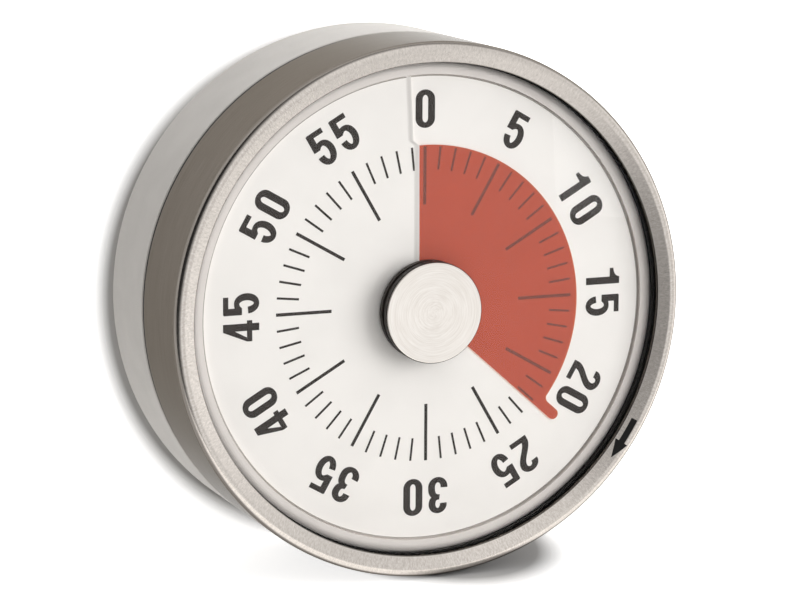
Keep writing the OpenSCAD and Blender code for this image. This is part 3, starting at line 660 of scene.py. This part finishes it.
def lap_edge(z):
    """x of the joint at height z: the slit, a smooth jog, then the joint to the edge."""
    jog = (joint_x - slit_x) * smooth_step((z - film_r + 0.1) / 0.9)
    return slit_x + jog - LEAN * max(0.0, z - JOG_END)


lap = bmesh.new()
rows = ([4.3, 8, 12, 16, 20, 22.5] + [23.5 + 0.12 * i for i in range(13)]
        + [26, 27.5, 29, 31, 33, dial_r - 0.12])
strip = [lap.verts.new((lap_edge(z) * MM, -sheet_top_h * MM, z * MM)) for z in rows]
chain = [lap.edges.new(pair) for pair in zip(strip, strip[1:])]
# The lap's section: how far to the right of the joint and above the sheet.
LAP = [(0.0, LIFT_H - 0.1), (0.02, LIFT_H), (-0.15, LIFT_H - 0.03), (-0.35, 0.10),
       (-0.55, 0.03), (-0.75, -0.005), (-0.75, -0.1), (0.0, -0.1), (0.0, LIFT_H - 0.1)]
for vertex in strip:
    vertex.co += Vector((LAP[0][0], -LAP[0][1], 0)) * MM
for before, after in zip(LAP, LAP[1:]):
    made = bmesh.ops.extrude_edge_only(lap, edges=chain)["geom"]
    chain = [g for g in made if isinstance(g, bmesh.types.BMEdge)]
    shift = Vector((after[0] - before[0], before[1] - after[1], 0)) * MM
    moved = list({v for e in chain for v in e.verts})
    bmesh.ops.translate(lap, verts=moved, vec=shift)
    chain = [e for e in chain if all(v in moved for v in e.verts)]
bmesh.ops.remove_doubles(lap, verts=lap.verts, dist=MERGE * MM)
bmesh.ops.holes_fill(lap, edges=[e for e in lap.edges if e.is_boundary], sides=12)
close_up(lap)
lap_mesh = bpy.data.meshes.new("lap")
lap.to_mesh(lap_mesh)
lap.free()
sheet.from_mesh(lap_mesh)
bpy.data.meshes.remove(lap_mesh)
keep(sheet, "printed_dial_sheet", "case", dial_white, ["dial_sheet"])

# %% [markdown]
# ## Ink and ticks
# The ticks are printed in warm black, a little off the middle of the dial, as such a cheap
# print is, and most of all next to the joint on its right. Each is a very thin slab, and
# one function lays ticks and numerals on the sheet.

# %% Ink and ticks
ink, tree, skin = new_finish("matt_screen_print_ink", "#322D2A", Roughness=0.6,
                             Specular_IOR_Level=0.2)
tint(tree, skin, grain(tree, 0.25), "#36312E", "#2E2926")
INK_H = 0.02
TICK_OUT = 23.05  # radius of their outer ends; inner ends and widths follow
TICKS = {True: (14.65, 0.47), False: (19.7, 0.32)}  # every fifth minute and the others
OFF_RIGHT, OFF_UP = 0.1, 0.65  # of the print from the middle of the dial, in mm
OFF_AT_JOINT = -0.38  # to the right, next to the joint; none half a turn on
TWIST = 0.3  # degrees, clockwise


def bench(h, clockwise, r):
    """Matrix that lays an XY drawing in mm on the dial at r, tops outward."""
    pull = OFF_AT_JOINT * max(0.0, math.cos(math.radians(clockwise / 2))) ** 2
    shift = Matrix.Translation(((OFF_RIGHT + pull) * MM, 0, OFF_UP * MM))
    turn = Matrix.Rotation(math.radians(clockwise + TWIST), 4, "Y")
    stand = Matrix.Rotation(math.radians(90), 4, "X")
    return (shift @ turn @ Matrix.Translation((0, -h * MM, r * MM)) @ stand
            @ Matrix.Scale(MM, 4))


ticks = bmesh.new()
for minute in range(60):
    inner, width = TICKS[minute % 5 == 0]
    slab = Matrix.Diagonal((width, TICK_OUT - inner, INK_H, 1))
    lay = bench(sheet_top_h + INK_H / 2, 6 * minute, (TICK_OUT + inner) / 2)
    bmesh.ops.create_cube(ticks, size=1.0, matrix=lay @ slab)
keep(ticks, "printed_ticks", "case", ink)

# %% [markdown]
# ## Hairline of painted shade
# A grey ring at the sheet's edge is painted shade for the dark line where the dial meets the tray's rim. It
# is a thin turned ring.

# %% Hairline of painted shade
LINE_IN, LINE_OUT = 33.78, 33.9
edge_shade_grey, tree, skin = new_finish("grey_edge_painted_shade", "#9C9690", Roughness=0.6)
tint(tree, skin, grain(tree, 0.25), "#98928C", "#A09A94")
hairline = ring(LINE_IN, LINE_OUT, sheet_top_h, sheet_top_h + INK_H)
keep(hairline, "painted_shade_hairline", "case", edge_shade_grey)

# %% [markdown]
# ## Strokes of the numerals
# A numeral is drawn as a pen would: each stroke is a line of points down its middle, made
# of straight runs, oval arcs and cubic curves, in millimetres round the numeral's own
# middle. The flag of the 1 and the tapered leg of the 4 are patches, given by their edge.

# %% Draw the strokes
def bow(cx, cy, rx, ry, start, stop, steps=12):
    """Points of an oval arc in degrees."""
    return [(cx + rx * math.cos(math.radians(start + (stop - start) * i / steps)),
             cy + ry * math.sin(math.radians(start + (stop - start) * i / steps)))
            for i in range(steps + 1)]


def sweep(p0, p1, p2, p3, steps=12):
    """Points of a cubic curve."""
    line = []
    for i in range(steps + 1):
        t = i / steps
        k = ((1 - t) ** 3, 3 * t * (1 - t) ** 2, 3 * t * t * (1 - t), t ** 3)
        line.append(tuple(sum(a * p[j] for a, p in zip(k, (p0, p1, p2, p3))) for j in (0, 1)))
    return line


STROKES = {
    "0": [bow(0, 1.37, 0.71, 1.0, 0, 180, 16) + bow(0, -1.37, 0.71, 1.0, 180, 360, 16)
          + [(0.71, 1.37)]],
    "1": [[(0.15, -2.7), (0.15, 2.7)]],
    "2": [bow(0, 1.46, 0.71, 0.86, 190, 0, 16)
          + sweep((0.71, 1.46), (0.71, 0.2), (-0.66, -0.7), (-0.72, -2.0))[1:],
          [(-1.09, -2.31), (1.05, -2.31)]],
    "3": [bow(0, 1.37, 0.66, 0.95, 190, 0, 14)
          + sweep((0.66, 1.37), (0.66, 0.75), (0.5, 0.3), (-0.1, 0.28))[1:],
          sweep((-0.2, 0.28), (0.5, 0.28), (0.72, -0.2), (0.72, -1.1), 8)
          + bow(0, -1.3, 0.72, 1.03, 0, -190, 16)],
    "4": [[(0.405, -2.7), (0.405, 2.7)], [(-1.115, -1.26), (1.115, -1.26)]],
    "5": [[(-1.16, 2.29), (0.81, 2.29)], [(-0.865, 2.6), (-0.865, -0.13)],
          sweep((-0.8, 0.1), (-0.5, 0.55), (-0.3, 0.66), (0.05, 0.66), 6)[:-1]
          + bow(0.02, -0.83, 0.76, 1.49, 88, -172, 20)],
}
PATCHES = {
    "1": [[(-1.19, 1.14), (-0.2, 1.14), (0.3, 1.5), (0.3, 2.7), (-0.23, 2.7)]
          + bow(-1.19, 2.7, 0.96, 0.98, 0, -90, 10)[1:]],
    "4": [[(-0.035, 2.7), (-1.115, -0.88), (-0.68, -0.84), (0.025, 0.98), (0.1, 2.7)]],
}
print("strokes of the digits", " ".join(STROKES))

# %% [markdown]
# ## Strokes made flat bands
# A band is the stroke's line pushed to one side by half its width, extruded, and the new
# side pushed to the other, further where the line turns, so that the band keeps its
# width. Flat prints then get the ink's thickness.

# %% Bands and prints
def band(bm, line, width, matrix):
    """Flat band along a line of points, closed where the line ends where it starts."""
    points = [Vector((x, y, 0)) for x, y in line]
    loop = (points[0] - points[-1]).length < 1e-6
    if loop:
        points.pop()
    n = len(points)
    sides = []
    for i, p in enumerate(points):
        before = points[i - 1] if loop or i else p
        after = points[(i + 1) % n] if loop or i < n - 1 else p
        ways = [w.normalized() for w in (p - before, after - p) if w.length > 1e-9]
        way = sum(ways, Vector()).normalized()
        half = width / 2 / max(0.5, way.dot(ways[0]))
        sides.append(Vector((-way.y, way.x, 0)) * half)
    verts = [bm.verts.new(p + s) for p, s in zip(points, sides)]
    pairs = list(zip(verts, verts[1:] + (verts[:1] if loop else [])))
    made = bmesh.ops.extrude_edge_only(bm, edges=[bm.edges.new(pair) for pair in pairs])["geom"]
    moved = [g for g in made if isinstance(g, bmesh.types.BMVert)]
    for vertex in moved:
        nearest = min(range(n), key=lambda i: (points[i] + sides[i] - vertex.co).length)
        vertex.co = points[nearest] - sides[nearest]
    bmesh.ops.transform(bm, matrix=matrix, verts=verts + moved)


def print_flat(faces_of, name, body, finish=ink):
    """Give flat faces the thickness of the ink, and keep them."""
    for face in faces_of.faces:
        if face.normal.y > 0:
            face.normal_flip()
    made = bmesh.ops.extrude_face_region(faces_of, geom=faces_of.faces[:])["geom"]
    raised = [g for g in made if isinstance(g, bmesh.types.BMVert)]
    bmesh.ops.translate(faces_of, verts=raised, vec=(0, -INK_H * MM, 0))
    bmesh.ops.recalc_face_normals(faces_of, faces=faces_of.faces)
    keep(faces_of, name, body, finish)


# %% [markdown]
# ## Numerals
# The twelve numerals stand in a ring with their tops outward. The uprights of these narrow
# numerals are heavier than their bars, so each is drawn with an even pen and then made
# wider. Strokes that cross lie a little above each other and share no plane.

# %% Print the numerals
PEN = 0.78  # width of a stroke before the numeral is widened
WIDEN = 1.36
NARROW = {"5": 0.94}  # digits that are narrower than the others
PRINT_STEP = 0.004  # mm from one stroke up to the next, where they cross
DIGIT_STEP = 3.93  # from one digit of a pair to the next
NUMERAL_R = 28.45
OVAL = 0.18  # the ring of numerals is this much narrower than high
numerals = bmesh.new()
for minute in range(0, 60, 5):
    text = str(minute)
    for k, digit in enumerate(text):
        across = DIGIT_STEP * (k - (len(text) - 1) / 2)
        r = NUMERAL_R - OVAL * math.sin(math.radians(6 * minute)) ** 2
        lay = (bench(sheet_top_h, 6 * minute, r) @ Matrix.Translation((across, 0, 0))
               @ Matrix.Diagonal((WIDEN * NARROW.get(digit, 1), 1, 1, 1)))
        for i, line in enumerate(STROKES[digit]):
            band(numerals, line, PEN, lay @ Matrix.Translation((0, 0, i * PRINT_STEP)))
        for patch in PATCHES.get(digit, []):
            corner = [numerals.verts.new(lay @ Vector((x, y, 3 * PRINT_STEP))) for x, y in patch]
            numerals.faces.new(corner)
numerals.normal_update()
print_flat(numerals, "printed_numerals", "case")

# %% [markdown]
# ## Red film
# The film is a thin translucent red sheet that lies on the dial from the slit to its
# leading edge, with a round-ended tab that points at the minutes. As the head turns, more
# or less of it comes out of the slit. So it bends between the case and the head: each
# point follows the head by its share of the way from the slit to the leading edge.

# %% Film's sector
FILM_IN = 3.0  # the film's inner radius, under the cap
FILM_T = 0.15
LEAD = minutes * 6  # leading edge, degrees clockwise from the zero mark
TAB_W, TAB_OUT = 1.6, film_r + 3.4
FILLET = 0.7  # between the sector's rim and the tab
film_h = sheet_top_h + 0.05  # of the film's underside


def slit_angle(r):
    """Clockwise angle of the slit at radius r: it runs beside the middle."""
    return -math.degrees(math.asin(min(1.0, -slit_x / r)))


def share_of(r, clockwise):
    """0 at the slit, 1 at the leading edge."""
    start = slit_angle(r)
    return min(1.0, max(0.0, (clockwise - start) / (LEAD - start)))


root_angle = (TAB_W + FILLET) / film_r  # of the tab's root, in radians
tab_share = 1 - math.degrees(root_angle) / LEAD
columns, tab_columns = 96, 8  # of the grid, and those of them under the tab
film = bmesh.new()
bmesh.ops.create_grid(film, x_segments=columns, y_segments=14, size=0.5)
for vertex in film.verts:
    column = round((vertex.co.x + 0.5) * columns)
    r = FILM_IN + (film_r - FILM_IN) * (vertex.co.y + 0.5)
    if column <= columns - tab_columns:
        share = tab_share * column / (columns - tab_columns)
    else:
        share = 1 - (1 - tab_share) * (columns - column) / tab_columns
    start = slit_angle(r)
    vertex.co = place(r, film_h, 90 - (start + (LEAD - start) * share))
print("sector", len(film.faces), "faces, to", LEAD, "degrees")

# %% [markdown]
# ## Film's tab
# The tab grows out of the sector's rim next to the leading edge: the rim's edges are
# extruded outward step by step, first along the fillet, then straight, then round the end.
# Only then does the whole film get its thickness, with one wall all round.

# %% Grow the tab
NEAR = 0.01  # mm by which a vertex may be off the rim
ROUND_STEPS = 6
lead_out = place(1, 0, 90 - LEAD) / MM
lead_side = place(1, 0, 180 - LEAD) / MM  # towards the slit, square to the lead
root_width = film_r * math.sin(root_angle)
rim = [e for e in film.edges if e.is_boundary
       and all(v.co.dot(lead_side) / MM < root_width + NEAR
               and abs(math.hypot(v.co.x, v.co.z) / MM - film_r) < NEAR
               and v.co.dot(lead_out) > 0 for v in e.verts)]
straight = TAB_OUT - film_r - TAB_W / 2  # rise at which the round end begins
rises = ([FILLET * (1 - math.cos(math.radians(22.5 * i))) for i in range(1, 5)]
         + [straight]
         + [straight + TAB_W / 2 * math.sin(math.radians(90 * i / ROUND_STEPS))
            for i in range(1, ROUND_STEPS + 1)])


def tab_span(rise):
    """Sides of the tab at a height above the film's edge, from the leading edge."""
    if rise < FILLET:
        return 0.0, TAB_W + FILLET - math.sqrt(max(0, FILLET ** 2 - (FILLET - rise) ** 2))
    over = rise - straight
    half = math.sqrt(max(0.0, (TAB_W / 2) ** 2 - max(0.0, over) ** 2))
    return TAB_W / 2 - half, TAB_W / 2 + half


for rise in rises:
    made = bmesh.ops.extrude_edge_only(film, edges=rim)["geom"]
    rim = [g for g in made if isinstance(g, bmesh.types.BMEdge)]
    ends = sorted({v for e in rim for v in e.verts}, key=lambda v: v.co.dot(lead_side))
    low, high = tab_span(rise)
    for i, vertex in enumerate(ends):
        across = low + (high - low) * i / (len(ends) - 1)
        foot = math.sqrt(film_r ** 2 - across ** 2)
        settle = smooth_step(rise / FILLET)
        along = (foot + rise) * (1 - settle) + (film_r + rise) * settle
        vertex.co = (lead_out * along + lead_side * across) * MM
        vertex.co.y = -film_h * MM
bmesh.ops.recalc_face_normals(film, faces=film.faces)
for face in film.faces[:]:
    if face.normal.y > 0:
        bmesh.ops.reverse_faces(film, faces=[face])
made = bmesh.ops.extrude_face_region(film, geom=film.faces[:])["geom"]
bmesh.ops.translate(film, verts=[g for g in made if isinstance(g, bmesh.types.BMVert)],
                    vec=(0, -FILM_T * MM, 0))
close_up(film)
print("film with its tab", len(film.faces), "faces")

# %% [markdown]
# ## Film's finish
# The film is dyed polyester. Most of the light passes both of its faces on its way to the
# print and back, and the rest is scattered by the pigment, so the print shows through,
# softened. A coloured clear shader gives the first and a Principled one the second.

# %% Dyed film
SCATTERED = 0.23  # share of the light that the pigment sends back
red_film, tree, skin = new_finish("dyed_red_polyester_film", "#CD968F", Roughness=0.5,
                                  Specular_IOR_Level=0.25)
tint(tree, skin, grain(tree, 4.0), "#CA938C", "#D09992")
emboss(tree, skin, grain(tree, 1.5, 1.0), 0.0008)
dye = add(tree, "BsdfTransparent", {"Color": (0.915, 0.5, 0.25, 1)})
dyed = add(tree, "MixShader", {0: SCATTERED, 1: dye.outputs[0], 2: skin.outputs[0]})
show(tree, dyed.outputs[0])
print("light scattered by the film:", SCATTERED)

# %% [markdown]
# ## Film's motion
# The film is blended between the case and the turning head, and then each point's share
# is set by its angle: none at the slit, all of it at the leading edge and on the tab. So
# the sector opens and closes like a fan.

# %% Bend the film
film_piece = as_object(film, "red_film_sector", red_film)
film_mesh = film_piece.data
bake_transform(film_piece, "case", "turning_head", start=(0, 0, 0), end=(0.01, 0, 0))
shares = []
for vertex in film_mesh.vertices:
    r = math.hypot(vertex.co.x, vertex.co.z) / MM
    clockwise = math.degrees(math.atan2(vertex.co.x, vertex.co.z)) % 360
    if clockwise > 300:  # just before the zero mark
        clockwise -= 360
    shares.append(1.0 if r > film_r + NEAR else share_of(r, clockwise))
film_mesh.attributes["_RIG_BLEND"].data.foreach_set("value", shares)
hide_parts("time_film")
print("film", len(film_mesh.polygons), "faces, shares", round(min(shares), 3), max(shares))

# %% [markdown]
# ## Film under the dial
# The rest of the film waits under the dial sheet. With the timer wound to the full hour the whole disc of
# film is on the dial. Here that disc is a thin turned ring of film under the sheet, fixed to the case, with
# a mesh of its own.

# %% Hidden film
HIDDEN_IN, HIDDEN_T = 4.3, 0.1
hidden = ring(HIDDEN_IN, film_r, film_back_h, film_back_h + HIDDEN_T, turns=128)
hidden_film = keep(hidden, "red_film_under_dial", "case", red_film)
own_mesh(hidden_film)

# %% [markdown]
# ## Arrow on the bezel
# A black arrow is printed on the steel slope to show which way to wind. It has to follow
# the slope, so a small grid is laid out by angle and radius, and each vertex is put at the
# height that the steel has there.

# %% Arrow
ARROW_R, SHAFT_HALF, HEAD_HALF = 37.08, 0.42, 0.92
TAIL_AT, BARB_AT, TIP_AT = 119.7, 125.7, 129.9  # degrees clockwise from the zero mark
OFF_STEEL = 0.004  # mm from the steel to the print's underside


def slope_height(r):
    """Height of the steel at radius r, from the lip up the slope and over the crest."""
    if r > foot_r:
        return crest_centre_h + math.sqrt(CREST_ROUND ** 2 - (r - crest_r) ** 2)
    return lip_h + (r - opening_r) * math.tan(slope)


def print_on_slope(bm, start, stop, half_at):
    """A grid from one clockwise angle to another, half_at(share) wide to each side."""
    new = bmesh.ops.create_grid(bm, x_segments=12, y_segments=6, size=0.5)["verts"]
    for vertex in new:
        share, side = vertex.co.x + 0.5, vertex.co.y * 2
        r = ARROW_R + side * half_at(share)
        height = slope_height(r) + OFF_STEEL
        vertex.co = place(r, height, 90 - (start + (stop - start) * share))


arrow = bmesh.new()
print_on_slope(arrow, TAIL_AT, BARB_AT, lambda share: SHAFT_HALF)
print_on_slope(arrow, BARB_AT, TIP_AT, lambda share: HEAD_HALF * (1 - share) + 0.02)
bmesh.ops.remove_doubles(arrow, verts=arrow.verts, dist=0.0005 * MM)
arrow.normal_update()
arrow_ink, tree, skin = new_finish("black_enamel_print", "#0F0E0D", Roughness=0.5,
                                   Specular_IOR_Level=0.25)
print_flat(arrow, "printed_arrow", "turning_head", arrow_ink)

# %% [markdown]
# ## Plastics of the case
# The case, the tray and the back keep their CAD shapes and take finishes. Moulds are
# spark-eroded, so the plastic has a fine grit, which also moves its roughness, and the
# flow leaves soft clouds of colour.

# %% Moulded plastics
def moulded(name, colour, shade, grit_mm, depth_mm, roughness, gloss=0.5):
    """Moulded plastic; gloss is the shader's specular level."""
    material, tree, skin = new_finish(name, colour, Roughness=roughness, IOR=1.5,
                                      Specular_IOR_Level=gloss)
    tint(tree, skin, grain(tree, 6.0, 2.0), shade, colour, 0.3, 0.65)
    grit = grain(tree, grit_mm)
    emboss(tree, skin, grit, depth_mm)
    spread(tree, skin, grit, roughness - 0.05, roughness + 0.05)
    return material


case_grey = moulded("silver_painted_abs", "#CFCAC4", "#C9C4BE", 0.35, 0.004, 0.42, 0.25)
dark_plastic = moulded("black_moulded_abs", "#1C1A19", "#171514", 0.35, 0.006, 0.5, 0.2)
matt_black = moulded("matt_black_moulded_abs", "#12100F", "#0E0D0C", 0.35, 0.006, 0.7, 0.2)
white_plastic = moulded("white_moulded_abs", "#E4DDD8", "#DFD8D3", 0.5, 0.002, 0.4)
print("finishes so far:", len(bpy.data.materials))

# %% [markdown]
# ## Dark ring in the seam
# A thin black ring sits in the seam between the case and the bezel, a painted shade that shows as a dark
# line between the case and the steel. It is a turned ring that stays clear of both.

# %% Ring of painted shade in the seam
SEAM = 0.7  # between the case's face and the bezel's back
PLAY = 0.05
seam_shade = ring(case_r - 1.4, case_r - 0.12, bezel_back_h - SEAM + PLAY, bezel_back_h - PLAY)
keep(seam_shade, "seam_painted_shade_ring", "case", matt_black)

# %% [markdown]
# ## Metals of the movement
# Brass plates and wheels, steel arbors and springs sit inside the case, and plated screws
# and the magnet show at the back. All were rolled, cut or turned, so each metal has fine
# marks round the axis, in two shades of its own colour.

# %% Metals
def plain_metal(name, colour, dark, roughness, across, along):
    """Bare or plated metal with marks across mm wide and along mm long."""
    material, tree, skin = new_finish(name, colour, Metallic=1.0, Roughness=roughness)
    marks = round_noise(tree, across, along)
    tint(tree, skin, marks, dark, colour, 0.35, 0.65)
    emboss(tree, skin, marks, 0.004)
    return material


brass = plain_metal("rolled_brass", "#D2B063", "#BE9A4C", 0.3, 0.3, 12)
wheel_brass = plain_metal("cut_brass", "#CFA954", "#B78F3F", 0.25, 0.25, 8)
turned_steel = plain_metal("turned_steel", "#C4C5C6", "#A9ABAD", 0.25, 0.2, 6)
screw_steel = plain_metal("zinc_plated_steel", "#C9CAC9", "#AFB1B2", 0.3, 0.3, 2)
spring_steel = plain_metal("blued_spring_steel", "#8C939B", "#6F767E", 0.3, 0.3, 6)
bell_steel = plain_metal("nickel_plated_steel", "#D8D8D4", "#C4C4C0", 0.18, 0.4, 12)
magnet_metal = plain_metal("nickel_plated_magnet", "#8A8B8D", "#838486", 0.35, 0.5, 10)
print("finishes so far:", len(bpy.data.materials))

# %% [markdown]
# ## Clear lens
# The lens is clear acrylic with a coating that keeps reflections off the dial. It refracts,
# but it lets the lamps' light straight in, so that the dial behind it is lit without
# caustic noise. The coating is given by a low index, which leaves under 2 % of reflection.

# %% Lens
lens_clear, tree, skin = new_finish("coated_clear_acrylic", "#FFFFFF", Roughness=0.0,
                                    IOR=1.2, Transmission_Weight=1.0)
path = add(tree, "LightPath").outputs
lets_by = calc(tree, "MAXIMUM", path["Is Shadow Ray"], path["Is Diffuse Ray"])
clear = add(tree, "BsdfTransparent", {"Color": (0.965, 0.965, 0.96, 1)})
mixed = add(tree, "MixShader", {0: lets_by, 1: skin.outputs[0], 2: clear.outputs[0]})
show(tree, mixed.outputs[0])
print("lens index", skin.inputs["IOR"].default_value)

# %% [markdown]
# ## Finishes of the CAD nodes
# Every node that keeps its CAD shape gets the finish of what it is made of, in place of
# the plain material that it comes with.

# %% Give each node its finish
FINISHES = {
    case_grey: "rear_case",
    dark_plastic: "back_cover",
    matt_black: "bezel_carrier",
    white_plastic: "dial_tray film_hub",
    lens_clear: "lens",
    magnet_metal: "magnet",
    bell_steel: "bell",
    brass: "front_plate back_plate",
    wheel_brass: "balance great_wheel second_wheel third_wheel escape_wheel",
    screw_steel: "cover_screws movement_screws bell_screw pillar_nuts",
    spring_steel: "mainspring hammer_spring click_spring arbor_clip",
    turned_steel: "pallet_lever plate_pillars bell_post arbor ratchet_wheel click strike_cam "
                  "hammer second_pinion third_pinion escape_pinion",
}
for finish, nodes in FINISHES.items():
    for node in nodes.split():
        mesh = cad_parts[node].data
        mesh.materials.clear()
        mesh.materials.append(finish)
print("finishes on CAD nodes:", len(FINISHES))
